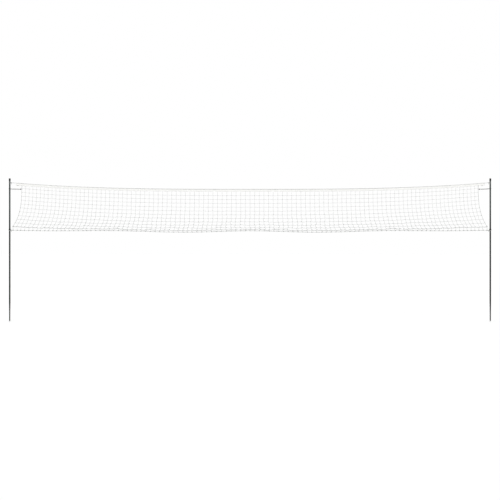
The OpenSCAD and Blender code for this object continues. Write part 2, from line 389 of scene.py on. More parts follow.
# %% Level twine
ROW_SLACK = 0.022
DOUBLE_DROP = 1.05 * TWINE_D
row_paths = []
for k, drop in [(k, 0) for k in range(1, ROWS + 1)] + [(ROWS - 1, DOUBLE_DROP)]:
    path = []
    beside = [0, 0, -drop]
    for j in range(COLUMNS):
        gap = np.linalg.norm(place[j + 1, k] - place[j, k])
        slack = 1 + ROW_SLACK * looseness[k] * chance.uniform(0.2, 1.6)
        lean = np.array([0, 0.3 * chance.normal(), -1])
        path += list(arc_between(place[j, k], place[j + 1, k], gap * slack, lean) + beside)
    path.append(place[COLUMNS, k] + beside)
    row_paths.append(path)
net_columns = cord_mesh("net_upright_twine", column_paths, TWINE_D / 2)
net_rows = cord_mesh("net_level_twine", row_paths, TWINE_D / 2)
twine_length = sum(map(length_of, column_paths)) + sum(map(length_of, row_paths))
print("twine in the net", round(twine_length, 1), "m")

# %% [markdown]
# ## The knots
# Each crossing is a small sheet bend: a lump with a groove where one cord passes under the other.
# One lump is shaped from an icosphere of eighty faces, and its copies are written into one mesh,
# each turned and sized a little differently. A thousand knots stay light that way.

# %% Copy helper
def take_apart(shape):
    """Points and faces of a shape, which is then thrown away."""
    points = np.array([v.co for v in shape.data.vertices])
    faces = [list(p.vertices) for p in shape.data.polygons]
    bpy.data.objects.remove(shape)
    return points, faces


def copies_mesh(name, copies, faces, smooth=True):
    """One mesh of many copies of a shape, from the points of each copy and the faces of one."""
    step = len(copies[0])
    every = [[v + i * step for v in face] for i in range(len(copies)) for face in faces]
    made = new_piece(name, copies, every, smooth)
    face_out(made)
    return made


# %% Knot helper
KNOT_SQUASH = (1.0, 0.86, 1.22)
GROOVE_DEPTH = 0.13  # as a share of the knot's size
GROOVE_PITCH = 0.62
GROOVE_SLANT = 0.8


def shape_knot(size):
    """Points and faces of one knot, shaped from an icosphere."""
    bpy.ops.object.select_all(action="DESELECT")
    bpy.ops.mesh.primitive_ico_sphere_add(subdivisions=2, radius=size / 2)
    lump = bpy.context.object
    bpy.ops.object.mode_set(mode="EDIT")
    bpy.ops.mesh.select_all(action="SELECT")
    bpy.ops.transform.resize(value=KNOT_SQUASH)
    bpy.ops.object.mode_set(mode="OBJECT")
    points, faces = take_apart(lump)
    slanted = points[:, 0] * GROOVE_SLANT + points[:, 2]
    groove = np.cos(2 * np.pi * slanted / (GROOVE_PITCH * size))
    points *= (1 - GROOVE_DEPTH * (1 + groove) / 2)[:, None]
    return points, faces


def knots_mesh(name, places, size, spread=0.1):
    """One mesh with a copy of the knot at each place, each turned about Y by chance."""
    points, faces = shape_knot(size)
    turn = chance.uniform(-0.6, 0.6, len(places))
    flip = chance.choice([-1.0, 1.0], len(places))
    scale = chance.uniform(1 - spread, 1 + spread, len(places))
    c, s = np.cos(turn), np.sin(turn)
    copies = np.empty((len(places), len(points), 3))
    copies[:, :, 0] = points[:, 0] * c[:, None] * flip[:, None] + points[:, 2] * s[:, None]
    copies[:, :, 1] = points[:, 1]
    copies[:, :, 2] = points[:, 2] * c[:, None] - points[:, 0] * s[:, None] * flip[:, None]
    copies = copies * scale[:, None, None] + np.asarray(places)[:, None, :]
    return copies_mesh(name, copies, faces)


# %% Net knots
KNOT_D = 0.0062
crossings = place[1:COLUMNS, 1:ROWS].reshape(-1, 3)
net_knots = knots_mesh("net_knots", crossings, KNOT_D)
for piece in (net_columns, net_rows, net_knots):
    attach(piece, "net")
    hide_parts("net_mesh")
print("knots", len(crossings), "triangles", len(net_knots.data.polygons))

# %% [markdown]
# ## Lashing to the lines
# The lowest meshes are held to the bottom line by small turns of twine, and the outer meshes to
# the side lines. One turn is a small torus, shaped and then copied like the knots.

# %% Lashing helper
LASHING_TURNS = 4


def shape_turn(major, minor, axis):
    """Points and faces of one turn of twine round an axis, x or z."""
    bpy.ops.object.select_all(action="DESELECT")
    tilt = (0, math.radians(90), 0) if axis == "x" else (0, 0, 0)
    bpy.ops.mesh.primitive_torus_add(major_segments=12, minor_segments=5, major_radius=major,
                                     minor_radius=minor, rotation=tilt)
    bpy.ops.object.transform_apply(location=False, rotation=True, scale=False)
    return take_apart(bpy.context.object)


def turns_mesh(name, places, major, minor, axis, pitch):
    """One mesh with a few turns side by side at each place, a pitch apart along the axis."""
    points, faces = shape_turn(major, minor, axis)
    step = np.array([pitch, 0, 0]) if axis == "x" else np.array([0, 0, pitch])
    middle = (LASHING_TURNS - 1) / 2
    where = np.concatenate([np.asarray(places) + step * (i - middle) for i in range(LASHING_TURNS)])
    return copies_mesh(name, points[None] + where[:, None], faces)


# %% [markdown]
# Each lashing is tied off with a knot on the side that is seen. On the bottom line the turns take
# in the lowest row of the mesh as well, so their centre lies a little above the line's.

# %% Bottom and side lashing
THREAD_R = 0.0008
LASHING_PITCH = 0.0017
BOTTOM_TURN_R = 0.0037
SIDE_TURN_R = 0.0026
SIDE_KNOT_D = 0.0048
KNOT_OUT = 0.0030  # a bottom knot lies this far in front of its turns, and as far below
LASHING_RISE = 0.0012
feet = place[1:COLUMNS, ROWS].copy()
feet[:, 1] = 0
feet[:, 2] = bottom_line_z(feet[:, 0]) + LASHING_RISE
edge = np.array([side_point(s, k) for s in SIDES.values() for k in range(1, ROWS)])
bottom_lashing = turns_mesh("bottom_lashing", feet, BOTTOM_TURN_R, THREAD_R, "x", LASHING_PITCH)
side_lashing = turns_mesh("side_lashing", edge, SIDE_TURN_R, THREAD_R, "z", LASHING_PITCH)
bottom_knots = knots_mesh("bottom_knots", feet + [0, -KNOT_OUT, -KNOT_OUT], KNOT_D)
side_knots = knots_mesh("side_knots", edge + [0, -SIDE_TURN_R, 0], SIDE_KNOT_D)
lashings = (bottom_lashing, side_lashing, bottom_knots, side_knots)
for piece in lashings:
    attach(piece, "net")
print("lashings", len(feet) + len(edge))

# %% [markdown]
# ## The tape
# The tape is a strip of woven cloth, folded over the top line and sewn to the mesh. It is thin,
# so a closed wall is written ring by ring: up the back, over the line, down the front and home
# on the inside. It hangs flat under the fold and ripples more towards its lower edge.

# %% The fold and its ripples
TAPE_RINGS = 701
RIPPLE = 0.0009


def fold_profile(gap, top_r, low):
    """Points (y, z) up one side of the fold, over the top and down the other side."""
    up = [(gap, z) for z in np.linspace(low, -3.2 * top_r, 5)]
    shoulder = [(top_r * 0.86, -1.1 * top_r)]
    over = [(top_r * math.cos(a), top_r * math.sin(a)) for a in np.radians(np.arange(0, 91, 18))]
    half = up + shoulder + over
    return half + [(-y, z) for y, z in half[-2::-1]]


def tape_drift(x, z):
    """How far the cloth stands out of its flat place, from nothing at the fold."""
    down = np.clip(-z / TAPE_HEIGHT, 0, 1)
    ripple = np.sin(x * 31.0) + 0.6 * np.sin(x * 53.0 + 1.3) + 0.4 * np.sin(x * 97.0 + 0.4)
    return RIPPLE * down * ripple


inner_gap = TWINE_D / 2 + FIT_GAP
inner_top = LINE_D / 2 + FIT_GAP
tape_inside = fold_profile(inner_gap, inner_top, -TAPE_HEIGHT)
tape_outside = fold_profile(inner_gap + TAPE_CLOTH, inner_top + TAPE_CLOTH, -TAPE_HEIGHT)
outer_run = np.cumsum([0] + [math.dist(a, b) for a, b in zip(tape_outside, tape_outside[1:])])
cut_width = float(outer_run[-1])
print("tape cut", round(1000 * cut_width), "mm wide,", round(2 * tape_end_x, 2), "m long")

# %% Folded tape
tape_ring = np.array(tape_outside + tape_inside[::-1])
tape_x = np.linspace(-tape_end_x, tape_end_x, TAPE_RINGS)
tape_points = np.empty((len(tape_x), len(tape_ring), 3))
tape_points[:, :, 0] = tape_x[:, None]
tape_points[:, :, 1] = tape_ring[:, 0] + tape_drift(tape_x[:, None], tape_ring[:, 1])
tape_points[:, :, 2] = tape_ring[:, 1] + top_line_z(tape_x)[:, None]
m = len(tape_ring)
tape_faces = [
    [i * m + j, i * m + (j + 1) % m, (i + 1) * m + (j + 1) % m, (i + 1) * m + j]
    for i in range(TAPE_RINGS - 1) for j in range(m)
]
for base in (0, (TAPE_RINGS - 1) * m):
    outer = [base + j for j in range(m // 2)]
    inner = [base + m - 1 - j for j in range(m // 2)]
    tape_faces += [list(wall) for wall in zip(outer, outer[1:], inner[1:], inner)]
tape = new_piece("net_tape", tape_points, tape_faces)
across = np.concatenate([outer_run, outer_run[::-1]])
corner = np.empty(len(tape.data.loops), dtype=np.int64)
tape.data.loops.foreach_get("vertex_index", corner)
cloth_uv = np.stack([tape_x[corner // m], across[corner % m]], axis=1)
tape.data.uv_layers.new(name="cloth").data.foreach_set("uv", cloth_uv.ravel())
face_out(tape)
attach(tape, "net")
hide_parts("tape")
print("tape faces", len(tape_faces))

# %% [markdown]
# ## Stitching
# Two seams run along the tape: one under the line, to hold it in its fold, and one near the lower
# edge, to hold the mesh. A stitch is a short grain of thread, made once from a five-sided cylinder
# and copied along both faces. Half of it sinks into the cloth, as a pulled stitch does.

# %% Stitches
STITCH_PITCH = 0.0065
STITCH_LENGTH = 0.0042
STITCH_D = 0.0008
STITCH_STAND = 0.0001  # how far its middle stands out of the cloth
SEAM_MARGIN = 0.006  # from the tape's end to the first stitch
FOLD_SEAM = 0.0085  # from the line down to the upper seam
EDGE_SEAM = 0.0030  # from the lower edge up to the lower seam


def shape_stitch():
    """Points and faces of one stitch."""
    bpy.ops.object.select_all(action="DESELECT")
    bpy.ops.mesh.primitive_cylinder_add(vertices=5, radius=STITCH_D / 2, depth=STITCH_LENGTH,
                                        rotation=(0, math.radians(90), 0))
    bpy.ops.object.transform_apply(location=False, rotation=True, scale=False)
    return take_apart(bpy.context.object)


stitch_points, stitch_faces = shape_stitch()
stitch_x = np.arange(SEAM_MARGIN - tape_end_x, tape_end_x - SEAM_MARGIN, STITCH_PITCH)
cloth_y = inner_gap + TAPE_CLOTH + STITCH_STAND
stitch_copies = []
for low in (-FOLD_SEAM, EDGE_SEAM - TAPE_HEIGHT):
    for front in (-1, 1):
        for x in stitch_x:
            y = front * cloth_y + tape_drift(x, low)
            stitch_copies.append(stitch_points + [x, y, top_line_z(x) + low])
stitches = copies_mesh("tape_stitches", stitch_copies, stitch_faces, smooth=False)
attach(stitches, "net")
print("stitches", len(stitch_copies))

# %% [markdown]
# ## Ties at the poles
# Each line takes one turn round its pole and is knotted to itself. The turn is a short helix, so
# the cord lies beside itself where it crosses, and the knot is a tight trefoil of the same cord
# with a short tail hanging from it.

# %% Tie helper
TIE_LAY = 0.016
TIE_RISE = 0.0042  # the helix climbs by just over one cord
LINE_KNOT_D = 0.0105
KNOT_SINK = 0.0035  # from the turn's outside to the middle of the knot
PULLED_THIN = 0.42  # radius of the cord in a tight knot, as a share of its thickness
TAIL = [(0, -0.004, -0.002), (-0.003, -0.006, -0.007),
        (-0.002, -0.005, -0.012), (-0.004, -0.004, -0.017)]


def trefoil(centre, size):
    """A closed overhand knot about a centre."""
    t = np.linspace(0, 2 * np.pi, 49)
    x = np.sin(t) + 2 * np.sin(2 * t)
    z = np.cos(t) - 2 * np.cos(2 * t)
    return np.asarray(centre) + np.stack([x, 0.9 * np.sin(3 * t), z], 1) * size / 6


def pole_tie(name, s, z):
    """A line's turn round a pole, its knot and its tail, as one mesh."""
    knot_x = pole_x - tie_r - LINE_D / 2 - KNOT_SINK
    sweep = np.linspace(np.pi, 3 * np.pi, 28)
    lift = np.linspace(-TIE_RISE / 2, TIE_RISE / 2, len(sweep))
    turn = np.stack([s * (pole_x + tie_r * np.cos(sweep)), tie_r * np.sin(sweep), z + lift], 1)
    knot = trefoil([s * knot_x, 0, z], LINE_KNOT_D)
    tail = smooth_path([[s * (knot_x + out), front, z + up] for out, front, up in TAIL])
    ring = cord_mesh(name, [turn], LINE_D / 2, ROPE_SIDES, side=(0, 0, 1),
                     strands=STRANDS, lay=TIE_LAY)
    lump = cord_mesh(name + "_knot", [knot], LINE_D * PULLED_THIN, ROPE_SIDES, side=(0, 1, 0.02))
    end = cord_mesh(name + "_tail", [tail], LINE_D / 2, ROPE_SIDES, strands=STRANDS, lay=TIE_LAY)
    bpy.ops.object.select_all(action="DESELECT")
    for piece in (end, lump, ring):
        piece.select_set(True)
    bpy.context.view_layer.objects.active = ring
    bpy.ops.object.join()
    ring.select_set(False)
    return ring


# %% Four ties
ties = []
for name, s in SIDES.items():
    for tie, z in (("top_tie", top_tie_z), ("bottom_tie", bottom_tie_z)):
        piece = pole_tie(f"{name}_{tie}_cord", s, z)
        ties.append(piece)
        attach(piece, "net")
        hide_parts(f"{name}_{tie}")
        print(piece.name, "at", round(float(z), 3), "m")

# %% [markdown]
# ## Corner knots
# The side line is knotted at the net's lower corner and lashed to the bottom line below it.

# %% Knots at the lower corners
FOOT_THREAD_R = 0.0011
FOOT_TURN_R = 0.0042
FOOT_PITCH = 0.0023
FOOT_RISE = 0.0008
corners = [trefoil(side_point(s, ROWS - 1), LINE_KNOT_D) for s in SIDES.values()]
corner_knots = cord_mesh("corner_knots", corners, PULLED_THIN * SIDE_LINE_D, ROPE_SIDES)
foot_z = float(bottom_line_z(corner_x)) + FOOT_RISE
foot_places = [[s * corner_x, 0, foot_z] for s in SIDES.values()]
foot_lashing = turns_mesh("foot_lashing", foot_places, FOOT_TURN_R, FOOT_THREAD_R, "x", FOOT_PITCH)
for piece in (corner_knots, foot_lashing):
    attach(piece, "net")
print("corner knots", len(corners))

# %% [markdown]
# Near each end the tape's lower edge is caught with dark thread in two places, once over the side
# line and once in the free flap. Each catch is two loops round the hem and a small knot under it.

# %% Dark thread in the tape's hem
FLAP_CATCH = 0.024  # from the tape's end to the outer catch
HEM_THREAD_R = 0.0007
HEM_KNOT_D = 0.0050
HEM_LOOP_Y, HEM_LOOP_Z = 0.0028, 0.0036
HEM_LOOP_STEP = 0.0010
HEM_DROP = 0.0024
hem_turn = np.radians(np.linspace(-90, 260, 25))
thread_paths = []
for x in (s * x for s in SIDES.values() for x in (tape_end_x - FLAP_CATCH, side_x)):
    y, z = tape_drift(x, -TAPE_HEIGHT), float(top_line_z(x)) - TAPE_HEIGHT
    thread_paths.append(trefoil((x, y, z - HEM_DROP), HEM_KNOT_D))
    for step in (-HEM_LOOP_STEP, HEM_LOOP_STEP):
        loop_y = y + HEM_LOOP_Y * np.cos(hem_turn)
        loop_z = z + HEM_DROP + HEM_LOOP_Z * np.sin(hem_turn)
        thread_paths.append(np.stack([np.full(len(hem_turn), x + step), loop_y, loop_z], 1))
tape_knots = cord_mesh("tape_corner_knots", thread_paths, HEM_THREAD_R)
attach(tape_knots, "net")
print("threads", len(thread_paths))

# %% [markdown]
# ## Elastic ties
# Just under the tape a black elastic pulls the net's side towards the pole. It is one loop with a
# ball on it. The loop goes round the pole, both strands run back to the ball, and a small bight
# holds the side line. The loop tilts on the pole, so one strand lies over the other. The two ties
# are tied by hand, so they climb and open by different amounts.

# %% Elastic path helper
ball_low, ball_high = (np.array(c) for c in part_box("right_tie_ball"))
ball_x, ball_z = (ball_low + ball_high)[0] / 2, (ball_low + ball_high)[2] / 2
ball_r = (ball_high - ball_low)[2] / 2
ball_flat = (ball_high - ball_low)[0] / 2
pole_turn_r = pole_r + FIT_GAP + ELASTIC_D / 2
net_turn_r = SIDE_LINE_D / 2 + FIT_GAP + ELASTIC_D / 2
strand_y = 1.05 * ELASTIC_D / 2
ELASTIC_RISE = {"left": 0.003, "right": 0.006}  # from the ball up to the loop on the pole
STRANDS_APART = {"left": 0.0031, "right": 0.0019}  # from the middle to each strand
ROLLED_BY = 0.25  # share of the run in which the strands turn one over the other
SPREAD_FROM = 0.6  # share of the run after which they spread round the pole


def elastic_paths(s, rise, apart):
    """The loop from the ball round the pole, and the bight from the ball round the side line."""
    pole_z = ball_z + rise
    turn = np.radians(np.linspace(-90, 90, 17))
    run = np.linspace(ball_x + ball_flat, pole_x, 34)[:-1]
    share = (run - run[0]) / (pole_x - run[0])
    roll = np.pi / 2 * np.clip(share / ROLLED_BY, 0, 1)
    spread = (1 - np.cos(np.pi * np.clip((share - SPREAD_FROM) / (1 - SPREAD_FROM), 0, 1))) / 2
    width = strand_y * np.cos(roll) + pole_turn_r * spread
    z = ball_z + rise * share**2
    out = np.stack([s * run, -width, z + apart * np.sin(roll)], 1)
    back = np.stack([s * run, width, z - apart * np.sin(roll)], 1)[::-1]
    around_x = s * (pole_x + pole_turn_r * np.cos(turn))
    around = np.stack([around_x, pole_turn_r * np.sin(turn), pole_z - apart * np.sin(turn)], 1)
    hook = np.radians(np.linspace(90, 270, 13))
    hook_x = s * (side_x + net_turn_r * np.cos(hook))
    bight = np.stack([hook_x, net_turn_r * np.sin(hook), np.full(len(hook), ball_z)], 1)
    first = [s * (ball_x - ball_flat), strand_y, ball_z]
    final = [s * (ball_x - ball_flat), -strand_y, ball_z]
    return np.concatenate([out, around, back]), np.concatenate([[first], bight, [final]])


# %% Two elastic cords
elastics = {}
for name, s in SIDES.items():
    loop, bight = elastic_paths(s, ELASTIC_RISE[name], STRANDS_APART[name])
    elastic = cord_mesh(f"{name}_elastic_cord", [loop], ELASTIC_D / 2, around=10, side=(0, 0, 1))
    hook = cord_mesh(f"{name}_elastic_hook", [bight], ELASTIC_D / 2, around=10, side=(0, 0, 1))
    for piece in (elastic, hook):
        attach(piece, "net")
    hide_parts(f"{name}_elastic_tie")
    elastics[name] = (elastic, hook, loop)
    print(name, "elastic loop", round(length_of(loop), 3), "m")

# %% [markdown]
# ## The balls
# A tie ball is moulded plastic, cut flat where the cord comes out on each side. It starts as a
# sphere, bisect cuts both flats, and an inset gives each flat a rim round the cord.

# %% Tie balls
RIM_SHARE = 0.10


def tie_ball(name, s):
    """A moulded ball, flat at both ends of its hole."""
    bpy.ops.object.select_all(action="DESELECT")
    bpy.ops.mesh.primitive_uv_sphere_add(segments=32, ring_count=20, radius=ball_r,
                                         location=(s * ball_x, 0, ball_z))
    ball = bpy.context.object
    ball.name = name
    bpy.ops.object.transform_apply(location=True, rotation=False, scale=False)
    bpy.ops.object.mode_set(mode="EDIT")
    for way in (-1, 1):
        bpy.ops.mesh.select_all(action="SELECT")
        bpy.ops.mesh.bisect(plane_co=(s * ball_x + way * ball_flat, 0, ball_z),
                            plane_no=(way, 0, 0), use_fill=True, clear_outer=True)
        bpy.ops.mesh.inset(thickness=ball_r * RIM_SHARE)
    bpy.ops.mesh.select_all(action="SELECT")
    bpy.ops.mesh.normals_make_consistent(inside=False)
    bpy.ops.object.mode_set(mode="OBJECT")
    bpy.ops.object.shade_smooth_by_angle(angle=math.radians(40))
    ball.select_set(False)
    return ball


for name, s in SIDES.items():
    ball = tie_ball(f"{name}_tie_ball_moulded", s)
    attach(ball, "net")
    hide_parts(f"{name}_tie_ball")
    elastic, hook, loop = elastics[name]
    print(ball.name, "faces", len(ball.data.polygons))

# %% [markdown]
# ## Counting the cords
# A robot or a simulator has to know that these pieces are soft. Here the lines and the elastics
# are only counted.

print("cords declared", 4 + len(elastics))

# %% [markdown]
# ## Writing finishes as sums
# A shader is a sum of patterns, and it reads best when it is written as one. Wire wraps a socket
# so that plus, minus and times add Math nodes. Finish starts a material and adds any other node.

# %% Shader helper
class Wire:
    """A value in a finish. Arithmetic on it adds Math nodes."""

    def __init__(self, finish, socket):
        self.finish = finish
        self.socket = socket

    def math(self, operation, *values):
        return self.finish.node("ShaderNodeMath", {"operation": operation}, dict(enumerate(values)))

    def __add__(self, other):
        return self.math("ADD", self, other)

    def __sub__(self, other):
        return self.math("SUBTRACT", self, other)

    def __rsub__(self, other):
        return self.math("SUBTRACT", other, self)

    def __mul__(self, other):
        return self.math("MULTIPLY", self, other)

    def __truediv__(self, other):
        return self.math("DIVIDE", self, other)

    __radd__ = __add__
    __rmul__ = __mul__

    def wave(self):
        """Sine of the value."""
        return self.math("SINE", self)

    def size(self):
        """The value without its sign."""
        return self.math("ABSOLUTE", self)

    def held(self, low, high):
        """0 below low, 1 above high and a straight rise between."""
        return self.finish.node("ShaderNodeMapRange", {"clamp": True},
                                {"Value": self, "From Min": low, "From Max": high})


class Finish:
    """A material with one Principled shader, whose even values are set straight on its sockets."""

    def __init__(self, name, **shader):
        self.material = bpy.data.materials.new(name)
        self.material.use_nodes = True
        self.tree = self.material.node_tree
        self.shader = self.tree.nodes["Principled BSDF"]
        self.feed(self.shader, {key.replace("_", " "): value for key, value in shader.items()})

    def feed(self, node, inputs):
        for key, value in inputs.items():
            if isinstance(value, Wire):
                self.tree.links.new(value.socket, node.inputs[key])
            else:
                node.inputs[key].default_value = value

    def node(self, kind, settings=None, inputs=None, output=0):
        node = self.tree.nodes.new(kind)
        for key, value in (settings or {}).items():
            setattr(node, key, value)
        self.feed(node, inputs or {})
        return Wire(self, node.outputs[output])

    def place(self):
        """Object coordinates, in metres."""
        return self.node("ShaderNodeTexCoord", output="Object")

    def axes(self, vector):
        """The three parts of a vector."""
        split = self.node("ShaderNodeSeparateXYZ", None, {"Vector": vector})
        return [Wire(self, split.socket.node.outputs[i]) for i in range(3)]

    def cloud(self, scale, detail=2.0, vector=None, rough=0.5):
        """Noise from 0 to 1, with scale patches to the metre."""
        return self.node("ShaderNodeTexNoise", None, {
            "Vector": vector or self.place(), "Scale": scale, "Detail": detail, "Roughness": rough})

    def blend_colour(self, share, low, high):
        """Colour low where share is 0 and high where it is 1."""
        node = self.tree.nodes.new("ShaderNodeMix")
        node.data_type = "RGBA"
        self.feed(node, {0: share, 6: low, 7: high})
        return Wire(self, node.outputs[2])

    def relief(self, height, depth):
        """Bump from a height between 0 and 1, that many metres deep."""
        return self.node("ShaderNodeBump", None, {"Height": height, "Distance": depth})

    def wear(self, **links):
        """Feeds patterns to the shader."""
        self.feed(self.shader, {key.replace("_", " "): value for key, value in links.items()})
        return self.material


def shade(r, g, b):
    """A colour as painted, from 0 to 1, in the linear light that shaders use."""
    linear = [((c + 0.055) / 1.055) ** 2.4 if c > 0.04 else c / 12.92 for c in (r, g, b)]
    return (*linear, 1.0)


def dress(piece, material):
    """Gives a piece its finish."""
    if piece.data.materials:
        piece.data.materials[0] = material
    else:
        piece.data.materials.append(material)


# %% [markdown]
# ## Cord finishes
# The strands of the lines are in the mesh, so their finish adds the fine fibres that wind with
# them, and painted shade in the grooves between. U runs once round the cord and V is metres along
# it, so a sine of both is a helix.

# %% White cord and twine
GREYER_BELOW = 0.98  # greyer below this height
PLAIN_ABOVE = 1.16  # plain colour above this one


def white_cord(name, colour, painted_shade_grey, lower_grey, lay, fibres, depth):
    """Twisted white fibre: colour on the crowns, painted shade in the grooves, greyer low on the
    net.
    """
    f = Finish(name, Sheen_Weight=0.15, Sheen_Roughness=0.5, Specular_IOR_Level=0.25)
    u, v, _ = f.axes(f.node("ShaderNodeTexCoord", output="UV"))
    helix = ((u * fibres + v / lay) * (2 * math.pi)).wave()
    fuzz = f.cloud(2600, 3.0)
    stain = f.cloud(9, 3.0)
    share = (helix * 0.30 + fuzz * 0.5 + stain * 0.5).held(0.05, 0.85)
    _, _, z = f.axes(f.place())
    # the cord turns greyer towards the bottom of the net
    low = (1 - z.held(GREYER_BELOW, PLAIN_ABOVE)) * (0.7 + stain * 0.6)
    # painted shade: the grooves of the helix take the grey, and fuzz and stain vary it at random
    cord_tone = f.blend_colour(share, painted_shade_grey, colour)
    return f.wear(Base_Color=f.blend_colour(low.held(0, 1), cord_tone, lower_grey),
                  Roughness=0.70 + fuzz * 0.2,
                  Normal=f.relief(helix * 0.5 + fuzz * 0.5, depth))


line_finish = white_cord(
    "line_cord_finish", colour=shade(0.80, 0.80, 0.79), painted_shade_grey=shade(0.62, 0.63, 0.63),
    lower_grey=shade(0.74, 0.75, 0.74), lay=0.0045, fibres=3, depth=0.0003)
twine_finish = white_cord(
    "net_twine_finish", colour=shade(0.86, 0.86, 0.85), painted_shade_grey=shade(0.70, 0.71, 0.71),
    lower_grey=shade(0.69, 0.70, 0.69), lay=0.0032, fibres=2, depth=0.0002)
line_pieces = [top_line, bottom_line, corner_knots, foot_lashing] + ties
line_pieces += [line for line, _ in side_lines.values()]
twine_pieces = [net_columns, net_rows, net_knots] + list(lashings)
for piece in line_pieces:
    dress(piece, line_finish)
for piece in twine_pieces:
    dress(piece, twine_finish)
print("pieces in line finish", len(line_pieces), "and in twine finish", len(twine_pieces))

# %% [markdown]
# The elastic is covered with a braid: two helices that cross. Where they cross is a small bump.

# %% Black elastic
BRAID_LAY = 0.0035
BRAID_THREADS = 6  # in each of the two ways
BRAID_DARK = shade(0.06, 0.06, 0.06)
BRAID_WORN = shade(0.19, 0.195, 0.195)


def braided_elastic():
    """Black braid over rubber."""
    f = Finish("elastic_braid_finish", Specular_IOR_Level=0.2)
    u, v, _ = f.axes(f.node("ShaderNodeTexCoord", output="UV"))
    one = ((u * BRAID_THREADS + v / BRAID_LAY) * (2 * math.pi)).wave()
    two = ((u * BRAID_THREADS - v / BRAID_LAY) * (2 * math.pi)).wave()
    braid = (one * two).held(-0.6, 0.8)
    dust = f.cloud(300, 3.0)
    colour = f.blend_colour(braid * 0.7 + dust * 0.3, BRAID_DARK, BRAID_WORN)
    return f.wear(Base_Color=colour, Roughness=0.55 + dust * 0.3, Normal=f.relief(braid, 0.0003))


elastic_finish = braided_elastic()
for elastic, hook, _ in elastics.values():
    dress(elastic, elastic_finish)
    dress(hook, elastic_finish)
dress(tape_knots, elastic_finish)
print("threads round the elastic", 2 * BRAID_THREADS)

# %% [markdown]
# ## Woven tape
# The tape is plain weave: two sets of threads at right angles. Its UV map is in metres along and
# across the cut strip, so the weave follows the fold. The grey along the fold, darkest in the
# middle of the net, is painted shade.

# %% Tape cloth and its thread
WEAVE_PITCH = 0.0009
FOLD_SHADE_WIDTH = (0.0035, 0.0070)  # painted shade this close to the fold, and none beyond
FOLD_SHADE_LENGTH = (0.7, 2.0)  # darkest painted shade this close to the middle of the net, lightest beyond
CLOTH_DARK, CLOTH_WHITE = shade(0.93, 0.93, 0.92), shade(0.99, 0.99, 0.98)
# greys of the painted shade along the fold
DEEPEST_FOLD_SHADE, LIGHTEST_FOLD_SHADE = shade(0.47, 0.475, 0.47), shade(0.66, 0.665, 0.66)
THREAD_DARK, THREAD_WHITE = shade(0.70, 0.70, 0.69), shade(0.84, 0.84, 0.83)


def woven_tape():
    """Plain-weave white cloth, with painted shade where it is folded over the line."""
    f = Finish("tape_weave_finish", Sheen_Weight=0.12, Specular_IOR_Level=0.2)
    warp, weft, _ = f.axes(f.node("ShaderNodeTexCoord", output="UV"))
    threads = 2 * math.pi / WEAVE_PITCH
    weave = ((warp * threads).wave() * (weft * threads).wave()).held(-1, 1)
    crease = f.cloud(60, 3.0)
    stain = f.cloud(3.5, 4.0, rough=0.6)
    tone = (weave * 0.35 + crease * 0.25 + stain * 0.4).held(0.1, 0.9)
    cloth = f.blend_colour(tone, CLOTH_DARK, CLOTH_WHITE)
    # painted shade along the fold over the line, darkest in the middle of the net
    fold_shade = (1 - (weft - cut_width / 2).size().held(*FOLD_SHADE_WIDTH)) * (0.8 + crease * 0.4)
    painted_shade_grey = f.blend_colour(warp.size().held(*FOLD_SHADE_LENGTH), DEEPEST_FOLD_SHADE, LIGHTEST_FOLD_SHADE)
    return f.wear(Base_Color=f.blend_colour(fold_shade.held(0, 1), cloth, painted_shade_grey),
                  Roughness=0.72 + crease * 0.2,
                  Normal=f.relief(weave * 0.6 + crease * 0.4, 0.0004))


def sewing_thread():
    """White polyester thread, slightly greyer than the cloth."""
    f = Finish("sewing_thread_finish", Sheen_Weight=0.1)
    tone = f.cloud(700, 2.0)
    return f.wear(Base_Color=f.blend_colour(tone, THREAD_DARK, THREAD_WHITE),
                  Roughness=0.5 + tone * 0.2)


dress(tape, woven_tape())
dress(stitches, sewing_thread())
print("threads across the cut strip", round(2 * cut_width / WEAVE_PITCH))

# %% [markdown]
# ## Painted tubes
# The poles are thin steel tube with a dark green-grey paint. Paint hides the metal except at the
# rims, where each plugged joint chips it. The height of each joint is read from the imported model,
# and a mask round each height lets a little bare steel through. The paint is lighter towards the
# top, a painted highlight.

# %% Pole paint
HIGHLIGHT_LOW = 0.98  # no painted highlight below this height
HIGHLIGHT_HIGH = 1.20  # full painted highlight above this one
CHIP_REACH = 0.003  # how far from a rim the paint is chipped
PAINT_DARK, PAINT_LIGHT = shade(0.09, 0.112, 0.105), shade(0.12, 0.148, 0.138)
# the lighter green of the painted highlight on the upper poles
PAINTED_HIGHLIGHT_GREEN = shade(0.24, 0.27, 0.26)
SCRATCHED = shade(0.36, 0.39, 0.38)
DRY_EARTH = shade(0.46, 0.44, 0.40)
BARE_STEEL = shade(0.62, 0.63, 0.64)
joint_heights = [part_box(f"right_tube_{k}")[1][2] for k in (1, 2, 3)]
shoulder_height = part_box("right_tube_1")[0][2]


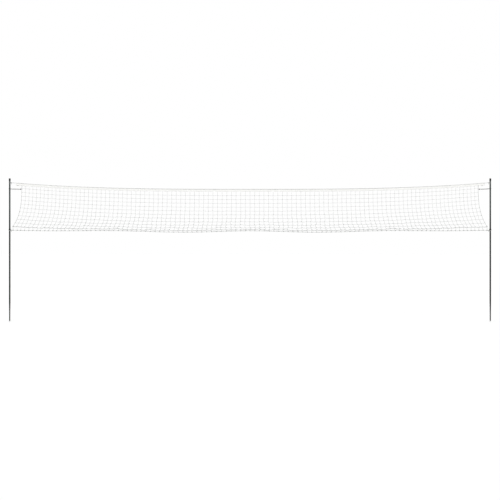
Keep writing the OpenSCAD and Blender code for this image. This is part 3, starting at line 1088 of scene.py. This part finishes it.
def pole_paint():
    """Dark gloss paint with a faint orange peel, chipped at the joints, dusty low down and lighter
    towards the top as a painted highlight.
    """
    f = Finish("pole_paint_finish", Specular_IOR_Level=0.12)
    place = f.place()
    _, _, z = f.axes(place)
    near = (z - joint_heights[0]).size()
    for height in joint_heights[1:] + [shoulder_height]:
        near = near.math("MINIMUM", near, (z - height).size())
    peel = f.cloud(420, 2.0)
    drag = f.node("ShaderNodeMapping", None, {"Vector": place, "Scale": (900, 900, 14)})
    scratch = f.cloud(1.0, 3.0, drag).held(0.62, 0.74)
    chips = f.cloud(1300, 2.0) + (1 - near.held(0.0, 0.004)) * 0.35
    bare = chips.held(0.86, 0.92) * (1 - near.held(0.0005, CHIP_REACH))
    dust = (1 - z.held(0.16, 0.55)) * f.cloud(60, 4.0).held(0.35, 0.8)
    paint = f.blend_colour(f.cloud(7, 3.0), PAINT_DARK, PAINT_LIGHT)
    # a lighter green towards the top is a painted highlight
    painted_highlight = z.held(HIGHLIGHT_LOW, HIGHLIGHT_HIGH) * (0.75 + f.cloud(25, 3.0) * 0.5)
    paint = f.blend_colour(painted_highlight.held(0, 1), paint, PAINTED_HIGHLIGHT_GREEN)
    paint = f.blend_colour(scratch * 0.25, paint, SCRATCHED)
    paint = f.blend_colour(dust * 0.16, paint, DRY_EARTH)
    return f.wear(Base_Color=f.blend_colour(bare, paint, BARE_STEEL),
                  Metallic=bare,
                  Roughness=0.32 + peel * 0.10 + scratch * 0.15 + dust * 0.25,
                  Normal=f.relief(peel * 0.5 + scratch * -0.3, 0.00012))


paint_finish = pole_paint()
for name in SIDES:
    for k in (1, 2, 3, 4):
        dress(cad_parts[f"{name}_tube_{k}"], paint_finish)
print("chipped rims at", [round(height, 3) for height in [shoulder_height] + joint_heights], "m")

# %% [markdown]
# ## Plastic and rubber
# The spike is grained black plastic, rubbed grey where it goes into the ground. The cap and the
# collar are soft black rubber with no shine. The ball is hard and glossy, with fine scuffs.

# %% Black finishes
GROUND_RUB = (0.03, 0.20)  # rubbed most below the first height, and not at all above the second
SPIKE_DARK, SPIKE_LIGHT = shade(0.08, 0.083, 0.083), shade(0.12, 0.124, 0.124)
SPIKE_RUBBED = shade(0.42, 0.41, 0.39)
RUBBER_DARK, RUBBER_BLOOM = shade(0.06, 0.063, 0.063), shade(0.12, 0.124, 0.124)
BALL_DARK, BALL_SCUFFED = shade(0.08, 0.08, 0.08), shade(0.14, 0.14, 0.14)


def spike_plastic():
    """Grained plastic, scuffed towards the point."""
    f = Finish("spike_plastic_finish", Specular_IOR_Level=0.15)
    place = f.place()
    _, _, z = f.axes(place)
    grain = f.cloud(1500, 2.0)
    drag = f.node("ShaderNodeMapping", None, {"Vector": place, "Scale": (700, 700, 30)})
    rub = f.cloud(1.0, 4.0, drag).held(0.45, 0.75) * (1 - z.held(*GROUND_RUB))
    colour = f.blend_colour(grain, SPIKE_DARK, SPIKE_LIGHT)
    return f.wear(Base_Color=f.blend_colour(rub * 0.35, colour, SPIKE_RUBBED),
                  Roughness=0.42 + grain * 0.15 + rub * 0.2,
                  Normal=f.relief(grain * 0.6 + rub * 0.4, 0.00015))


def soft_rubber(name):
    """Matt black rubber with a fine bloom."""
    f = Finish(name, Specular_IOR_Level=0.15)
    bloom = f.cloud(180, 4.0)
    grain = f.cloud(2200, 2.0)
    return f.wear(Base_Color=f.blend_colour(bloom, RUBBER_DARK, RUBBER_BLOOM),
                  Roughness=0.6 + bloom * 0.2, Normal=f.relief(grain, 0.0001))


def ball_plastic():
    """Glossy moulded black with fine scuffs."""
    f = Finish("tie_ball_finish", Coat_Weight=0.2)
    scuff = f.cloud(520, 4.0, rough=0.7)
    return f.wear(Base_Color=f.blend_colour(scuff, BALL_DARK, BALL_SCUFFED),
                  Roughness=0.22 + scuff * 0.25, Normal=f.relief(scuff, 0.00008))


spike_finish = spike_plastic()
cap_finish = soft_rubber("cap_rubber_finish")
collar_finish = soft_rubber("collar_rubber_finish")
ball_finish = ball_plastic()
for name in SIDES:
    dress(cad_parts[f"{name}_ground_spike"], spike_finish)
    dress(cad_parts[f"{name}_top_cap"], cap_finish)
    dress(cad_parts[f"{name}_stop_collar"], collar_finish)
    dress(bpy.data.objects[f"{name}_tie_ball_moulded"], ball_finish)
print("finishes made", len(bpy.data.materials))

# %% [markdown]
# ## Floor and light
# White cord on a white ground only shows by its own shading, so the light comes mostly from the
# front: flat cloth that faces it stays white, and round cord turns away from it and goes grey.
# A camera and a mirror see pure white behind the object, while the matt floor keeps its shadow.

# %% Floor
def seen_directly(tree):
    """1 for rays from the camera, a mirror or glass, and 0 for light that falls on matt things."""
    path = tree.nodes.new("ShaderNodeLightPath")
    names = ("Is Camera Ray", "Is Glossy Ray", "Is Transmission Ray")
    kinds = [path.outputs[name] for name in names]
    total = kinds[0]
    for kind in kinds[1:]:
        either = tree.nodes.new("ShaderNodeMath")
        either.operation = "MAXIMUM"
        tree.links.new(total, either.inputs[0])
        tree.links.new(kind, either.inputs[1])
        total = either.outputs[0]
    return total


def scaled(tree, value, low, high):
    """A strength that is low where value is 0 and high where it is 1."""
    node = tree.nodes.new("ShaderNodeMapRange")
    node.inputs["To Min"].default_value = low
    node.inputs["To Max"].default_value = high
    tree.links.new(value, node.inputs["Value"])
    return node.outputs[0]


FLOOR_SIZE = 400
FLOOR_WHITE = (0.9, 0.9, 0.9, 1)
FLOOR_LIFT = 0.31


def pale_floor():
    """A matt floor with a little glow of its own, so that it looks as white as the backdrop."""
    material = bpy.data.materials.new("floor_finish")
    material.use_nodes = True
    tree = material.node_tree
    tree.nodes.clear()
    out = tree.nodes.new("ShaderNodeOutputMaterial")
    matt = tree.nodes.new("ShaderNodeBsdfDiffuse")
    matt.inputs["Color"].default_value = FLOOR_WHITE
    glow = tree.nodes.new("ShaderNodeEmission")
    add = tree.nodes.new("ShaderNodeAddShader")
    tree.links.new(scaled(tree, seen_directly(tree), 0.0, FLOOR_LIFT), glow.inputs["Strength"])
    tree.links.new(matt.outputs[0], add.inputs[0])
    tree.links.new(glow.outputs[0], add.inputs[1])
    tree.links.new(add.outputs[0], out.inputs["Surface"])
    return material


bpy.ops.object.select_all(action="DESELECT")
bpy.ops.mesh.primitive_plane_add(size=FLOOR_SIZE, location=(0, 0, 0))
floor = bpy.context.object
floor.name = "floor"
floor.select_set(False)
dress(floor, pale_floor())
print("the floor is", FLOOR_SIZE, "m wide")

# %% Sky
SKY = 0.46  # how much light it casts, beside the pure white that the camera sees
world = bpy.data.worlds.new("studio_sky")
bpy.context.scene.world = world
world.use_nodes = True
background = world.node_tree.nodes["Background"]
background.inputs["Color"].default_value = (1, 1, 1, 1)
sky_strength = scaled(world.node_tree, seen_directly(world.node_tree), SKY, 1.0)
world.node_tree.links.new(sky_strength, background.inputs["Strength"])
print("the sky casts", SKY, "of its white")


# %% Lamps
def soft_sun(name, turn, height, strength, angle):
    """A sun with a wide disc, so that its shadows are soft. turn is 0 for light from the front."""
    data = bpy.data.lights.new(name, "SUN")
    data.energy = strength
    data.angle = math.radians(angle)
    lamp = bpy.data.objects.new(name, data)
    bpy.context.scene.collection.objects.link(lamp)
    turn, height = math.radians(turn), math.radians(height)
    level = math.cos(height)
    towards = Vector((math.sin(turn) * level, -math.cos(turn) * level, math.sin(height)))
    lamp.rotation_euler = towards.to_track_quat("Z", "Y").to_euler()
    return lamp


front_light = soft_sun("front_light", turn=-12, height=24, strength=1.65, angle=50)
back_light = soft_sun("back_light", turn=165, height=35, strength=0.6, angle=60)
print("light from the front", front_light.data.energy, "and back", back_light.data.energy)
